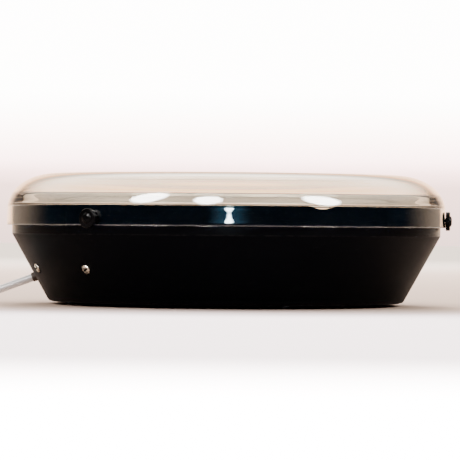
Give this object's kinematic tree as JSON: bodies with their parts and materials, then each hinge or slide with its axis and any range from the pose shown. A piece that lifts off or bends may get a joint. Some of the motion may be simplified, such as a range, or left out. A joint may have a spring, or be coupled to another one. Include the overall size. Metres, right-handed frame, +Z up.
{
  "type": "hot stone heater",
  "caption": "Round black electric warming base for massage stones, with a cast tray of shallow seats, a clear domed lift-off cover and a white mains lead.",
  "frame": {"origin": "on the base's round axis, at the standing surface", "axes": "+Z up along the base's axis; -Y the front seen in use; the cord leaves towards -X"},
  "size_m": [0.3969, 0.301, 0.0904],
  "materials": {
    "black_plastic": "fine satin texture",
    "bottom_sheet": "black powder coat",
    "foot_rubber": "matt",
    "zinc_steel": "zinc plated",
    "case_screw_steel": "bright plated",
    "tray_aluminium": "fine satin",
    "element_sheath": "heat toned",
    "ceramic_fibre": "pressed fibre",
    "thermostat_case": "moulded phenolic",
    "fuse_case": "plated",
    "nylon_natural": "natural nylon",
    "bush_rubber": "dark brown, matt",
    "lead_brown": "wire insulation",
    "lead_blue": "wire insulation",
    "lead_red": "wire insulation",
    "clear_plastic": "clear, polished",
    "stud_plastic": "black",
    "white_pvc": "white flexible PVC",
    "tie_nylon": "black nylon",
    "pin_metal": "nickel plated"
  },
  "bodies": {
    "base": {"base_shell": "black_plastic", "base_plate": "bottom_sheet", "foot_1": "foot_rubber", "foot_2": "foot_rubber", "foot_3": "foot_rubber", "foot_4": "foot_rubber", "plate_screw_1": "zinc_steel", "plate_screw_2": "zinc_steel", "plate_screw_3": "zinc_steel", "plate_screw_4": "zinc_steel", "case_screw_1": "case_screw_steel", "case_screw_2": "case_screw_steel", "inner_bracket": "zinc_steel", "terminal_block": "nylon_natural", "block_screw": "zinc_steel", "cord_bush": "bush_rubber", "cord_clamp": "nylon_natural", "clamp_screw_1": "zinc_steel", "clamp_screw_2": "zinc_steel", "stone_tray": "tray_aluminium", "heating_element": "element_sheath", "insulation_pad": "ceramic_fibre", "heat_shield": "zinc_steel", "shield_screw_1": "zinc_steel", "shield_screw_2": "zinc_steel", "shield_screw_3": "zinc_steel", "thermostat": "thermostat_case", "thermal_fuse": "fuse_case", "lead_live": "lead_brown", "lead_neutral": "lead_blue", "lead_thermostat": "lead_red", "lead_element": "lead_red", "mains_cord": "white_pvc", "cord_coil": "white_pvc", "cord_tail": "white_pvc", "cord_tie": "tie_nylon", "plug_body": "white_pvc", "plug_pin_1": "pin_metal", "plug_pin_2": "pin_metal"},
    "cover": {"clear_cover": "clear_plastic", "cover_stud_1": "stud_plastic", "cover_stud_2": "stud_plastic", "cover_stud_3": "stud_plastic"}
  },
  "joints": [
    {"name": "cover_lift", "type": "slide", "parent": "base", "child": "cover", "axis": [0, 0, 1], "range_m": [0, 0.12]}
  ]
}
